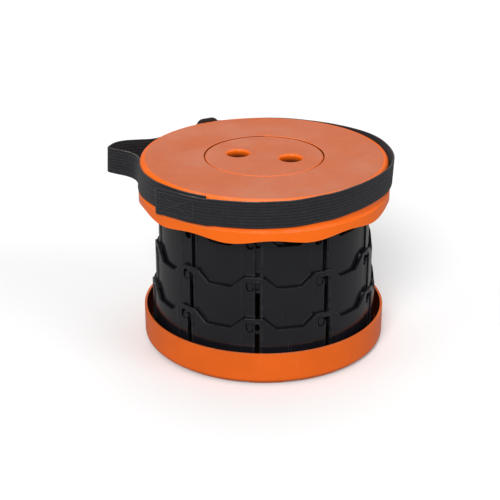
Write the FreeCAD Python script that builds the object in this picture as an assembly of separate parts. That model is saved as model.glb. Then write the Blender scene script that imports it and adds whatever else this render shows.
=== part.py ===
"""Telescopic camp stool: a base tray, ten nested wave-edged tier rings and a seat lid with a carry strap.

Units are millimetres. +Z is up, the origin is the middle of the underside, and -Y is the front.
Angles round the stool are in degrees from the front (-Y), positive towards +X.
The second, third and last tiers stand pulled out and locked; the tiers between them stay nested.
"""

import FreeCAD
import Part
import math
import os

V = FreeCAD.Vector
ORIGIN = V(0, 0, 0)
UP = V(0, 0, 1)

# ---------------------------------------------------------------- driving sizes
# Tiers
TIER_COUNT = 10            # rings, the outermost first
RAISED_TIERS = (2, 3, 10)  # tiers that stand pulled out of their neighbour in this pose
TIER_RISE = 42.0           # how far one tier pulls out of its neighbour
LAST_RISE_LOSS = 2.8       # how much less the last tier rises, which carries the seat
TIER_OVERLAP = 17.0        # how much of a pulled-out tier stays inside its neighbour, at a crest
RING_WALL = 2.4
RING_GAP = 1.6             # radial air between neighbouring rings
SEAM_COUNT = 10            # slots, crests and lock bosses round each ring

# Wavy top edge of a ring
CREST_WIDTH = 21.0         # flat top of a crest
SLOPE_RUN = 12.7           # sideways run of the slope from crest to trough
WAVE_DEPTH = 11.5          # crest to trough
TROUGH_RADIUS = 1.8        # rounding in the bottom corners of a trough
CREST_BEVEL = 1.2          # small bevel on a crest's corners
CREST_SHIFT = -3.6         # crest middle, sideways from the slot's middle

# Slot, lock pocket and lock boss
SLOT_ANGLE = -3.6          # where the first slot is
SLOT_WIDTH = 4.9
SLOT_FOOT = 2.4            # solid hoop left under a slot
SLOT_TOP_WALL = 4.4        # ring left above a slot
LOCK_OFFSET = 7.4          # from a slot's middle to its lock pocket's middle
POCKET_RADIUS = 3.9
POCKET_LENGTH = 3.6        # straight part of the upright oval pocket
POCKET_TOP_WALL = 3.0      # ring left above a pocket
BRIDGE_HEIGHT = 3.6        # opening that joins a slot to its pocket
BRIDGE_DROP = 0.3          # from a slot's top down to the bridge's top
BOSS_LENGTH = 3.0          # straight part of the upright oval boss
BOSS_SEAT = 0.7            # from the pocket's lower end up to the boss's lower end
GROOVE_DEPTH = 1.1         # blind groove inside a ring, so that a locked tier can slide straight down
BOSS_CLEARANCE = 0.3       # all round and over a boss
BOSS_RAMP = 1.1            # height of the ramp on a boss's upper half
FACET_WIDTH = 11.2         # shallow flat band beside each slot
FACET_OFFSET = 9.9         # from a slot's middle to the band's middle
FACET_DEPTH = 0.35
LIP_OFFSET = 1.5           # raised lip beside a slot
LIP_WIDTH = 1.0
LIP_HEIGHT = 0.4

# Base
PAD_THICKNESS = 2.0
PAD_COUNT = 15
PAD_ANGLE = 16.0
PAD_INNER_INSET = 19.0     # pad width, in from the pad ring's outer edge
TRAY_FLOOR = 3.0
TRAY_WALL = 2.5
TRAY_EDGE_RADIUS = 5.0
RIB_HEIGHT = 3.0           # floor ribs that the nested rings come down on
RIB_THICKNESS = 2.0
HUB_RADIUS = 22.0
CENTRE_PAD_INSET = 4.0     # from the hub's edge to the edge of the pad under it
CENTRE_PAD_ROUND = 0.5
REST_CLEARANCE = 0.3       # between the ribs and the nested rings
TRAY_RING_GAP = 6.5        # air between the tray's wall and the first ring
FOOT_FLANGE_WIDTH = 13.0

# Seat lid
SEAT_RADIUS = 125.0        # the tray and the lid's strap band share this outer radius
LID_PLATE = 3.5
LID_WALL = 2.5
LID_TOP_GAP = 0.5          # between the ring crests and the lid's plate
LID_EDGE_RADIUS = 4.0
STRAP_TOP_INSET = 2.5      # from the seat's top to the strap's upper edge
STRAP_PLAY = 0.5           # under the strap, above the skirt's shoulder
SKIRT_WALL = 2.0
SKIRT_CLEARANCE = 0.3      # between the skirt and the tray that it closes over
SKIRT_LENGTH = 11.5        # shoulder to the middle of the wavy lower edge
SKIRT_WAVE = 2.0           # half the height of the skirt's wave
SKIRT_WAVE_ANGLE = 2.7     # where the skirt's first high point is
SHOULDER_RISE = 1.6        # height of the sloped shoulder above the skirt
RIM_CLEARANCE = 3.2        # between the tray's rim and the lid's shoulder, closed

# Middle plate with its finger holes
PLATE_RADIUS = 59.7
PLATE_CLEARANCE = 1.0
PLATE_SINK = 0.3
PLATE_THICKNESS = 3.2
PLATE_EDGE_RADIUS = 1.2
PLATE_HOLE_ROUND = 0.6     # on the edge of the lid's hole for the plate
LEDGE_WIDTH = 5.0
LEDGE_THICKNESS = 3.0
FINGER_HOLE_RADIUS = 11.0
FINGER_HOLE_SPACING = 55.0
FINGER_HOLE_ANGLE = -15.4  # tilt of the line through both holes
FINGER_HOLE_ROUND = 2.2
COLLAR_WALL = 2.2
COLLAR_DEPTH = 11.0
HOOK_COUNT = 4
HOOK_WIDTH = 8.0
HOOK_CLEARANCE = 0.3
HOOK_THICKNESS = 2.4
HOOK_BARB = 1.3

# Screws
SCREW_COUNT = 5
SCREW_RADIUS = 1.75
SCREW_PILOT_CLEARANCE = 0.05
SCREW_HOLE_CLEARANCE = 0.25
SCREW_HEAD_RADIUS = 3.6
SCREW_HEAD_HEIGHT = 1.5
SCREW_HEAD_CLEARANCE = 0.3
LID_SCREW_BITE = 6.0       # thread length in a lid boss
BASE_SCREW_BITE = 2.6      # thread length in the first ring's foot
SCREW_BOSS_WALL = 2.6
DRIVE_RADIUS = 1.3
DRIVE_DEPTH = 0.8
TOP_FLANGE_WIDTH = 13.0
TOP_FLANGE_THICKNESS = 2.8
TOP_BOSS_LENGTH = 8.0

# Carry strap and its slider
STRAP_WIDTH = 27.0
STRAP_THICKNESS = 1.6
STRAP_CLEARANCE = 0.3      # between the strap and what it lies on
OVERLAP_START = -57.5      # cut end of the outer layer
OVERLAP_END = -26.0        # cut end of the inner layer
SLIDER_ANGLE = -152.0
SLIDER_WIDTH = 26.0
SLIDER_OVERHANG = 4.5      # slider above and below the strap
SLIDER_THICKNESS = 3.0
SLIDER_SIDE_BAR = 3.5
SLIDER_MIDDLE_BAR = 5.0
SLIDER_CORNER = 8.0
SLIDER_SLOT_PLAY = 1.0     # above and below the strap in a slot
LOOP_JOIN_ANGLE = -90.0    # where the hand loop comes back to the rim
LOOP_RUN_IN = 14.0         # straight run before that point
LOOP_POINTS = [(-130.9, 23.2), (-116.3, 42.3), (-102.9, 45.3)]   # hand loop: angle, and out from the rim
LOOP_RADII = [40.0, 25.0, 9.0]
LOOP_RUN_IN_RADIUS = 22.0
STITCH_START = -53.0       # the sewn box on the outer layer, with a cross in it
STITCH_END = -32.0
STITCH_INSET = 3.6         # from the webbing's edges
STITCH_WIDTH = 0.8
STITCH_RELIEF = 0.3        # how far the thread stands out

# ---------------------------------------------------------------- sizes that follow
RING_HEIGHT = TIER_RISE + TIER_OVERLAP
LAST_RISE = TIER_RISE - LAST_RISE_LOSS
SEAM_PITCH = 360.0 / SEAM_COUNT
RING_STEP = RING_WALL + RING_GAP
FLOOR_TOP = PAD_THICKNESS + TRAY_FLOOR
RING_REST = FLOOR_TOP + RIB_HEIGHT + REST_CLEARANCE
FIRST_RING_RADIUS = SEAT_RADIUS - TRAY_WALL - TRAY_RING_GAP
FIRST_RING_EXTRA = RING_REST - FLOOR_TOP
CLOSED_DROP = sum(LAST_RISE if tier == TIER_COUNT else TIER_RISE for tier in RAISED_TIERS)
SEAT_TOP = RING_REST + CLOSED_DROP + RING_HEIGHT + LID_TOP_GAP + LID_PLATE
LID_UNDERSIDE = SEAT_TOP - LID_PLATE
STRAP_TOP = SEAT_TOP - STRAP_TOP_INSET
STRAP_BOTTOM = STRAP_TOP - STRAP_WIDTH
SHOULDER_TOP = STRAP_BOTTOM - STRAP_PLAY
SKIRT_INNER = SEAT_RADIUS + SKIRT_CLEARANCE
SKIRT_OUTER = SKIRT_INNER + SKIRT_WALL
SKIRT_EDGE = SHOULDER_TOP - SKIRT_LENGTH
SHOULDER_UNDERSIDE = SHOULDER_TOP - SHOULDER_RISE - SKIRT_WALL
TRAY_RIM = SHOULDER_UNDERSIDE - CLOSED_DROP - RIM_CLEARANCE
BOSS_RADIUS = SLOT_WIDTH / 2 - BOSS_CLEARANCE
BOSS_REACH = RING_GAP + GROOVE_DEPTH - BOSS_CLEARANCE
POCKET_BOTTOM = RING_HEIGHT - POCKET_TOP_WALL - 2 * POCKET_RADIUS - POCKET_LENGTH
SLOT_TOP = RING_HEIGHT - SLOT_TOP_WALL


def ring_radius(tier):
    """Outer radius of a tier's ring; tier 1 is the outermost."""
    return FIRST_RING_RADIUS - (tier - 1) * RING_STEP


def tier_rise(tier):
    """How far a tier pulls out of the tier outside it."""
    return LAST_RISE if tier == TIER_COUNT else TIER_RISE


def ring_bottom(tier):
    """Height of a ring's lower edge in this pose, without the first ring's longer foot."""
    return RING_REST + sum(tier_rise(t) for t in RAISED_TIERS if t <= tier)


def lock_twist(tier):
    """Angle from a ring's slot to its lock pocket: the twist that locks the next tier."""
    return math.degrees(LOCK_OFFSET / ring_radius(tier))


def ring_turn(tier):
    """How far a ring is turned: each nested tier stands untwisted, with its bosses in its neighbour's slots."""
    return sum(lock_twist(t - 1) for t in range(2, tier + 1) if t not in RAISED_TIERS)


def boss_bottom(tier):
    """Height of a lock boss's lower end above its own ring's lower edge."""
    return POCKET_BOTTOM + BOSS_SEAT - tier_rise(tier)


# ---------------------------------------------------------------- shape helpers
def turned(shape, angle):
    copy = shape.copy()
    copy.rotate(ORIGIN, UP, angle)
    return copy


def repeated(shape, count, first_angle=0.0):
    return [turned(shape, first_angle + i * 360.0 / count) for i in range(count)]


def tube(outer, inner, bottom, top):
    height = top - bottom
    return Part.makeCylinder(outer, height, V(0, 0, bottom)).cut(
        Part.makeCylinder(inner, height, V(0, 0, bottom))
    )


def rounded_outline(points, radii, closed=True):
    """Wire through flat (a, b) points, each corner rounded by its own radius, in the XY plane."""
    count = len(points)
    vectors = [V(a, b, 0) for a, b in points]
    trims = []
    for i in range(count):
        is_end = not closed and i in (0, count - 1)
        radius = 0.0 if is_end else radii[i]
        if not radius:
            trims.append((vectors[i], None, vectors[i]))
            continue
        back = (vectors[i - 1] - vectors[i]).normalize()
        ahead = (vectors[(i + 1) % count] - vectors[i]).normalize()
        half = back.getAngle(ahead) / 2
        reach = radius / math.tan(half)
        middle = vectors[i] + (back + ahead).normalize() * (radius / math.sin(half) - radius)
        trims.append((vectors[i] + back * reach, middle, vectors[i] + ahead * reach))
    edges = []
    for i, (start, middle, end) in enumerate(trims):
        if middle is not None:
            edges.append(Part.Arc(start, middle, end).toShape())
        if closed or i < count - 1:
            following = trims[(i + 1) % count][0]
            if (following - end).Length > 1e-6:
                edges.append(Part.LineSegment(end, following).toShape())
    return Part.Wire(edges)


def radial_prism(outline, near, far):
    """Solid cut or raised on the front of the stool: outline holds (sideways, up), pushed out along -Y."""
    face = Part.Face(outline)
    face.rotate(ORIGIN, V(1, 0, 0), 90)
    face.translate(V(0, -near, 0))
    return face.extrude(V(0, near - far, 0))


def box_outline(left, right, bottom, top, corner=0.0):
    points = [(left, bottom), (right, bottom), (right, top), (left, top)]
    return rounded_outline(points, [corner] * 4)


def oval_outline(middle, bottom, radius, length):
    """Upright oval: two half circles joined by a straight part."""
    low = bottom + radius
    high = low + length
    left, right = middle - radius, middle + radius
    edges = [
        Part.Arc(V(left, low, 0), V(middle, bottom, 0), V(right, low, 0)).toShape(),
        Part.LineSegment(V(right, low, 0), V(right, high, 0)).toShape(),
        Part.Arc(V(right, high, 0), V(middle, high + radius, 0), V(left, high, 0)).toShape(),
        Part.LineSegment(V(left, high, 0), V(left, low, 0)).toShape(),
    ]
    return Part.Wire(edges)


def revolved(points):
    """Solid of revolution from (radius, height) points."""
    corners = [V(r, 0, z) for r, z in points]
    face = Part.Face(Part.makePolygon(corners + corners[:1]))
    return face.revolve(ORIGIN, UP, 360)


def circle_edges(shape, radius, height):
    """Full circular edges of a shape about the Z axis at a given radius and height."""
    found = []
    for edge in shape.Edges:
        curve = edge.Curve
        if isinstance(curve, Part.Circle) and abs(curve.Radius - radius) < 1e-4:
            if abs(curve.Center.z - height) < 1e-4 and abs(curve.Axis.z) > 0.999:
                found.append(edge)
    return found


# ---------------------------------------------------------------- tier rings
def trough_cutter(radius):
    """Cuts one trough of the wavy top edge, for a ring whose lower edge is at height 0."""
    half_pitch = math.pi * radius / SEAM_COUNT
    half_top = half_pitch - CREST_WIDTH / 2
    half_bottom = half_top - SLOPE_RUN
    trough = RING_HEIGHT - WAVE_DEPTH
    above = RING_HEIGHT + 2.0
    outline = rounded_outline(
        [
            (-half_top - CREST_BEVEL, above),
            (-half_top - CREST_BEVEL, RING_HEIGHT),
            (-half_top + CREST_BEVEL, RING_HEIGHT - CREST_BEVEL),
            (-half_bottom, trough),
            (half_bottom, trough),
            (half_top - CREST_BEVEL, RING_HEIGHT - CREST_BEVEL),
            (half_top + CREST_BEVEL, RING_HEIGHT),
            (half_top + CREST_BEVEL, above),
        ],
        [0, 0, 0, TROUGH_RADIUS, TROUGH_RADIUS, 0, 0, 0],
    )
    return radial_prism(outline, radius - 3 * RING_WALL, radius + RING_WALL)


def slot_cutters(radius, slot_bottom):
    """Opening of one slot with the bridge to its lock pocket, and the pocket."""
    near, far = radius - 2 * RING_WALL, radius + RING_WALL
    half = SLOT_WIDTH / 2
    slot = radial_prism(oval_outline(0, slot_bottom, half, SLOT_TOP - slot_bottom - SLOT_WIDTH), near, far)
    pocket = radial_prism(oval_outline(-LOCK_OFFSET, POCKET_BOTTOM, POCKET_RADIUS, POCKET_LENGTH), near, far)
    bridge_top = SLOT_TOP - BRIDGE_DROP
    bridge = radial_prism(box_outline(-LOCK_OFFSET, 0, bridge_top - BRIDGE_HEIGHT, bridge_top), near, far)
    return [slot, pocket, bridge]


def facet_cutter(radius, bottom):
    """Shallow flat band on the outside, beside a slot and round its lock pocket."""
    outline = box_outline(-FACET_WIDTH / 2, FACET_WIDTH / 2, bottom, RING_HEIGHT + 1.0)
    return radial_prism(outline, radius - FACET_DEPTH, radius + RING_WALL)


def groove_cutter(radius):
    """Blind groove on the inside, below a lock pocket, that the next ring's boss can slide down."""
    half = BOSS_RADIUS + BOSS_CLEARANCE
    outline = box_outline(-half, half, -1.0, POCKET_BOTTOM + POCKET_RADIUS)
    return radial_prism(outline, radius - 3 * RING_WALL, radius - RING_WALL + GROOVE_DEPTH)


def slot_lip(radius):
    """Thin raised lip along the outer side of a slot and over its top."""
    near, far = radius - RING_WALL / 2, radius + LIP_HEIGHT
    half = SLOT_WIDTH / 2 + LIP_OFFSET

    def arch(extra):
        reach = half + extra
        bottom = SLOT_FOOT + RING_WALL
        top = SLOT_TOP + LIP_OFFSET / 2 + extra
        return radial_prism(oval_outline(0, bottom - reach, reach, top - bottom - reach), near, far)

    lip = arch(LIP_WIDTH).cut(arch(0))
    right_side = Part.makeBox(
        half + 2 * LIP_WIDTH, 2 * RING_WALL, SLOT_TOP + LIP_OFFSET - 2 * SLOT_FOOT,
        V(-LIP_WIDTH, -far - RING_WALL / 2, 2 * SLOT_FOOT),
    )
    return lip.common(right_side)


def lock_boss(radius, bottom):
    """Oval boss on a ring's outside, with a ramp over its upper half."""
    near, far = radius - RING_WALL / 2, radius + BOSS_REACH
    boss = radial_prism(oval_outline(0, bottom, BOSS_RADIUS, BOSS_LENGTH), near, far)
    middle = bottom + BOSS_RADIUS + BOSS_LENGTH / 2
    top = middle + BOSS_RADIUS + BOSS_LENGTH
    ramp = Part.Face(
        Part.makePolygon([
            V(-LOCK_OFFSET, -far - 1, middle),
            V(-LOCK_OFFSET, -far, middle),
            V(-LOCK_OFFSET, -far + BOSS_RAMP, top),
            V(-LOCK_OFFSET, -far - 1, top),
            V(-LOCK_OFFSET, -far - 1, middle),
        ])
    ).extrude(V(2 * LOCK_OFFSET, 0, 0))
    return boss.cut(ramp)


def tier_ring(tier):
    """One tier's ring, standing where this pose has it."""
    radius = ring_radius(tier)
    is_first, is_last = tier == 1, tier == TIER_COUNT
    bottom = -FIRST_RING_EXTRA if is_first else 0.0
    top = RING_HEIGHT + (LID_TOP_GAP if is_last else 0.0)
    ring = tube(radius, radius - RING_WALL, bottom, top)
    if not is_last:
        ring = with_slots(ring, tier)
    if not is_first:
        boss_angle = SLOT_ANGLE - lock_twist(tier - 1)
        ring = ring.fuse(repeated(lock_boss(radius, boss_bottom(tier)), SEAM_COUNT, boss_angle))
    ring = turned(ring, ring_turn(tier))
    if is_first:
        ring = with_foot(ring, radius)
    if is_last:
        ring = with_top_flange(ring, radius)
    ring.translate(V(0, 0, ring_bottom(tier)))
    return ring.removeSplitter()


def with_slots(ring, tier):
    """Cuts a ring's wavy edge, flat bands, grooves, slots and pockets, and adds the lips beside the slots."""
    radius = ring_radius(tier)
    boss_top = boss_bottom(tier) + 2 * BOSS_RADIUS + BOSS_LENGTH
    trough_angle = SLOT_ANGLE + math.degrees(CREST_SHIFT / radius) + SEAM_PITCH / 2
    facet_angle = SLOT_ANGLE - math.degrees(FACET_OFFSET / radius)
    pocket_angle = SLOT_ANGLE - lock_twist(tier)
    cutters = repeated(trough_cutter(radius), SEAM_COUNT, trough_angle)
    cutters += repeated(facet_cutter(radius, boss_top + 1.0), SEAM_COUNT, facet_angle)
    cutters += repeated(groove_cutter(radius), SEAM_COUNT, pocket_angle)
    for cutter in slot_cutters(radius, SLOT_FOOT):
        cutters += repeated(cutter, SEAM_COUNT, SLOT_ANGLE)
    return ring.cut(cutters).fuse(repeated(slot_lip(radius), SEAM_COUNT, SLOT_ANGLE))


def foot_screw_radius():
    """Radius of the circle that the base screws stand on."""
    return ring_radius(1) - RING_WALL - FOOT_FLANGE_WIDTH / 2


def with_foot(ring, radius):
    """Adds the first ring's foot flange, which the base screws hold to the tray's floor."""
    inner = radius - RING_WALL
    bottom = -FIRST_RING_EXTRA
    foot = tube(inner + RING_WALL / 2, inner - FOOT_FLANGE_WIDTH, bottom, bottom + RIB_HEIGHT)
    place = V(0, -foot_screw_radius(), bottom - 1.0)
    hole = Part.makeCylinder(SCREW_RADIUS + SCREW_PILOT_CLEARANCE, RIB_HEIGHT + 2.0, place)
    return ring.fuse([foot]).cut(repeated(hole, SCREW_COUNT))


def top_screw_radius():
    """Radius of the circle that the lid screws stand on."""
    return ring_radius(TIER_COUNT) - RING_WALL - TOP_FLANGE_WIDTH / 2


def with_top_flange(ring, radius):
    """Adds the flange that the last ring hangs from, under the lid's screw bosses."""
    inner = radius - RING_WALL
    top = RING_HEIGHT + LID_TOP_GAP - TOP_BOSS_LENGTH
    flange = tube(inner + RING_WALL / 2, inner - TOP_FLANGE_WIDTH, top - TOP_FLANGE_THICKNESS, top)
    hole = Part.makeCylinder(
        SCREW_RADIUS + SCREW_HOLE_CLEARANCE, TOP_FLANGE_THICKNESS + 2,
        V(0, -top_screw_radius(), top - TOP_FLANGE_THICKNESS - 1),
    )
    return ring.fuse([flange]).cut(repeated(hole, SCREW_COUNT))


# ---------------------------------------------------------------- base
def base_tray():
    """Open round tray with a ribbed floor, the screw holes in it and a rounded lower edge."""
    shell = Part.makeCylinder(SEAT_RADIUS, TRAY_RIM - PAD_THICKNESS, V(0, 0, PAD_THICKNESS))
    shell = shell.makeFillet(TRAY_EDGE_RADIUS, circle_edges(shell, SEAT_RADIUS, PAD_THICKNESS))
    hollow = Part.makeCylinder(SEAT_RADIUS - TRAY_WALL, TRAY_RIM, V(0, 0, FLOOR_TOP))
    hollow = hollow.makeFillet(
        TRAY_EDGE_RADIUS - TRAY_WALL, circle_edges(hollow, SEAT_RADIUS - TRAY_WALL, FLOOR_TOP)
    )
    tray = shell.cut(hollow)
    rib_reach = ring_radius(1) - RING_WALL - FOOT_FLANGE_WIDTH - 1.0
    rib = Part.makeBox(
        RIB_THICKNESS, rib_reach - HUB_RADIUS + RIB_THICKNESS, RIB_HEIGHT + 1.0,
        V(-RIB_THICKNESS / 2, -rib_reach, FLOOR_TOP - 1.0),
    )
    hoops = [
        tube(r, r - RIB_THICKNESS, FLOOR_TOP - 1.0, FLOOR_TOP + RIB_HEIGHT)
        for r in (HUB_RADIUS, (HUB_RADIUS + rib_reach) / 2)
    ]
    tray = tray.fuse(repeated(rib, SEAM_COUNT) + hoops)
    place = V(0, -foot_screw_radius(), PAD_THICKNESS - 1.0)
    hole = Part.makeCylinder(SCREW_RADIUS + SCREW_HOLE_CLEARANCE, TRAY_FLOOR + 2.0, place)
    sink = Part.makeCylinder(
        SCREW_HEAD_RADIUS + SCREW_HEAD_CLEARANCE, SCREW_HEAD_HEIGHT + 1.0, place
    )
    return tray.cut(repeated(hole, SCREW_COUNT) + repeated(sink, SCREW_COUNT)).removeSplitter()


def base_grip_pads():
    """Soft arc-shaped pads under the tray, which the stool stands on."""
    outer = SEAT_RADIUS - TRAY_EDGE_RADIUS - 1.0
    ring = tube(outer, outer - PAD_INNER_INSET, 0, PAD_THICKNESS)
    wedge_reach = 2 * outer
    side = math.tan(math.radians(PAD_ANGLE / 2)) * wedge_reach
    wedge = Part.Face(
        Part.makePolygon([ORIGIN, V(-side, -wedge_reach, 0), V(side, -wedge_reach, 0), ORIGIN])
    ).extrude(V(0, 0, PAD_THICKNESS))
    pad = ring.common(wedge)
    return Part.makeCompound(repeated(pad, PAD_COUNT, 1.0))


def base_centre_pad():
    """Round pad under the hub, so that the middle of the floor doesn't sag when someone sits down."""
    radius = HUB_RADIUS - CENTRE_PAD_INSET
    pad = Part.makeCylinder(radius, PAD_THICKNESS)
    return pad.makeFillet(CENTRE_PAD_ROUND, circle_edges(pad, radius, 0))


def screw(length):
    """Pan-head screw standing head down with its head's underside at height 0, thread upwards."""
    head = Part.makeCylinder(SCREW_HEAD_RADIUS, SCREW_HEAD_HEIGHT, V(0, 0, -SCREW_HEAD_HEIGHT))
    head = head.makeFillet(0.5, circle_edges(head, SCREW_HEAD_RADIUS, -SCREW_HEAD_HEIGHT))
    shank = Part.makeCylinder(SCREW_RADIUS, length, ORIGIN)
    shank = shank.makeChamfer(0.6, circle_edges(shank, SCREW_RADIUS, length))
    drive = Part.makeCylinder(DRIVE_RADIUS, DRIVE_DEPTH, V(0, 0, -SCREW_HEAD_HEIGHT))
    return head.fuse(shank).cut(drive).removeSplitter()


def screw_circle(circle_radius, seat_height, length):
    one = screw(length)
    one.translate(V(0, -circle_radius, seat_height))
    return Part.makeCompound(repeated(one, SCREW_COUNT))


# ---------------------------------------------------------------- seat
def lid_body():
    """Lid without its cut-outs: plate, strap band, sloped shoulder and skirt."""
    band_inner = SEAT_RADIUS - LID_WALL
    low = SKIRT_EDGE - SKIRT_WAVE - 1.0
    shoulder_low = SHOULDER_TOP - SHOULDER_RISE
    profile = [
        (0, SEAT_TOP),
        (SEAT_RADIUS, SEAT_TOP),
        (SEAT_RADIUS, SHOULDER_TOP),
        (SKIRT_OUTER, shoulder_low),
        (SKIRT_OUTER, low),
        (SKIRT_INNER, low),
        (SKIRT_INNER, SHOULDER_UNDERSIDE),
        (band_inner, SHOULDER_UNDERSIDE),
        (band_inner, LID_UNDERSIDE),
        (0, LID_UNDERSIDE),
    ]
    lid = revolved(profile)
    return lid.makeFillet(LID_EDGE_RADIUS, circle_edges(lid, SEAT_RADIUS, SEAT_TOP))


def skirt_wave_cutter():
    """Solid below one wave of the skirt's lower edge, with the wave's high point at the front."""
    steps = 8
    first, last = -SEAM_PITCH / 2, SEAM_PITCH / 2
    edges = []
    for radius in (SKIRT_INNER - 1.0, SKIRT_OUTER + 1.0):
        points = []
        for i in range(steps + 1):
            angle = first + i * SEAM_PITCH / steps
            rise = SKIRT_WAVE * math.cos(math.radians(SEAM_COUNT * angle))
            points.append(V(*on_rim(angle, radius), SKIRT_EDGE + rise))
        curve = Part.BSplineCurve()
        start_way, end_way = (V(*on_rim(angle + 90.0, 1.0), 0) for angle in (first, last))
        curve.interpolate(Points=points, InitialTangent=start_way, FinalTangent=end_way)
        edges.append(curve.toShape())
    surface = Part.makeRuledSurface(edges[0], edges[1])
    return surface.extrude(V(0, 0, -3 * SKIRT_WAVE - 2.0))


def seat_lid():
    """Seat lid: plate with the ledge for the middle plate, ribs and screw bosses below, wavy skirt."""
    hole_radius = PLATE_RADIUS + PLATE_CLEARANCE
    ledge_top = SEAT_TOP - PLATE_SINK - PLATE_THICKNESS
    ledge_bottom = ledge_top - LEDGE_THICKNESS
    waves = repeated(skirt_wave_cutter(), SEAM_COUNT, SKIRT_WAVE_ANGLE)
    lid = lid_body().cut(waves + [Part.makeCylinder(hole_radius, SEAT_TOP, ORIGIN)])
    lid = lid.makeFillet(PLATE_HOLE_ROUND, circle_edges(lid, hole_radius, SEAT_TOP))
    ledge = tube(hole_radius + RING_WALL, hole_radius - LEDGE_WIDTH, ledge_bottom, ledge_top)
    collar = tube(hole_radius + RING_WALL, hole_radius, ledge_top, SEAT_TOP - LID_PLATE / 2)
    boss_bottom = LID_UNDERSIDE - TOP_BOSS_LENGTH
    place = V(0, -top_screw_radius(), boss_bottom)
    boss = Part.makeCylinder(SCREW_RADIUS + SCREW_BOSS_WALL, TOP_BOSS_LENGTH + 1.0, place)
    rib_outer = ring_radius(TIER_COUNT) - RING_WALL - REST_CLEARANCE
    rib_bottom = boss_bottom + 1.0
    rib = Part.makeBox(
        RIB_THICKNESS, rib_outer - hole_radius - 1.0, LID_UNDERSIDE + 1.0 - rib_bottom,
        V(-RIB_THICKNESS / 2, -rib_outer + 0.5, rib_bottom),
    )
    half_pitch = 180.0 / SCREW_COUNT
    lid = lid.fuse([ledge, collar] + repeated(boss, SCREW_COUNT) + repeated(rib, SCREW_COUNT, half_pitch))
    pilot = Part.makeCylinder(SCREW_RADIUS + SCREW_PILOT_CLEARANCE, LID_SCREW_BITE + 1.0, place)
    return lid.cut(repeated(pilot, SCREW_COUNT)).removeSplitter()


def centre_plate():
    """Round plate in the middle of the seat: two finger holes with collars, held by snap hooks."""
    top = SEAT_TOP - PLATE_SINK
    bottom = top - PLATE_THICKNESS
    plate = Part.makeCylinder(PLATE_RADIUS, PLATE_THICKNESS, V(0, 0, bottom))
    plate = plate.makeFillet(PLATE_EDGE_RADIUS, circle_edges(plate, PLATE_RADIUS, top))
    collar_radius = FINGER_HOLE_RADIUS + COLLAR_WALL
    half = FINGER_HOLE_SPACING / 2
    collar_bottom = SEAT_TOP - COLLAR_DEPTH
    additions, holes = [], []
    for side in (-1, 1):
        place = V(side * half, 0, collar_bottom)
        additions.append(Part.makeCylinder(collar_radius, COLLAR_DEPTH - PLATE_THICKNESS, place))
        holes.append(Part.makeCylinder(FINGER_HOLE_RADIUS, 2 * COLLAR_DEPTH, place))
    web = Part.makeBox(
        FINGER_HOLE_SPACING, RIB_THICKNESS, COLLAR_DEPTH - 2 * PLATE_THICKNESS + 1.0,
        V(-half, -RIB_THICKNESS / 2, bottom - COLLAR_DEPTH + 2 * PLATE_THICKNESS),
    )
    additions.append(web)
    additions += repeated(snap_hook(bottom), HOOK_COUNT, 45.0)
    plate = plate.fuse(additions).cut(holes).removeSplitter()
    rims = [
        edge for edge in plate.Edges
        if isinstance(edge.Curve, Part.Circle)
        and abs(edge.Curve.Radius - FINGER_HOLE_RADIUS) < 1e-4
        and abs(edge.Curve.Center.z - top) < 1e-4
    ]
    plate = plate.makeFillet(FINGER_HOLE_ROUND, rims)
    return turned(plate, FINGER_HOLE_ANGLE)


def snap_hook(plate_bottom):
    """Hook that drops through the lid's ledge and catches under it, at the front."""
    ledge_inner = PLATE_RADIUS + PLATE_CLEARANCE - LEDGE_WIDTH
    outer = ledge_inner - HOOK_CLEARANCE
    ledge_bottom = plate_bottom - LEDGE_THICKNESS
    tip = ledge_bottom - HOOK_CLEARANCE - 2 * HOOK_BARB
    profile = [
        (outer - HOOK_THICKNESS, plate_bottom + 0.5),
        (outer - HOOK_THICKNESS, tip),
        (outer, tip),
        (outer + HOOK_BARB, ledge_bottom - HOOK_CLEARANCE - HOOK_BARB / 2),
        (outer + HOOK_BARB, ledge_bottom - HOOK_CLEARANCE),
        (outer, ledge_bottom - HOOK_CLEARANCE),
        (outer, plate_bottom + 0.5),
    ]
    corners = [V(-HOOK_WIDTH / 2, -r, z) for r, z in profile]
    return Part.Face(Part.makePolygon(corners + corners[:1])).extrude(V(HOOK_WIDTH, 0, 0))


# ---------------------------------------------------------------- carry strap
def on_rim(angle, radius):
    """(x, y) at an angle round the stool."""
    a = math.radians(angle)
    return (radius * math.sin(a), -radius * math.cos(a))


def near_slider(sideways, out):
    """(x, y) in the slider's own directions: sideways along the strap, and out from the stool's axis."""
    a = math.radians(SLIDER_ANGLE)
    return (
        out * math.sin(a) + sideways * math.cos(a),
        -out * math.cos(a) + sideways * math.sin(a),
    )


def strap_middle_radius():
    return SEAT_RADIUS + STRAP_CLEARANCE + STRAP_THICKNESS / 2


def slider_inner_radius():
    return SKIRT_OUTER + STRAP_CLEARANCE


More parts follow.
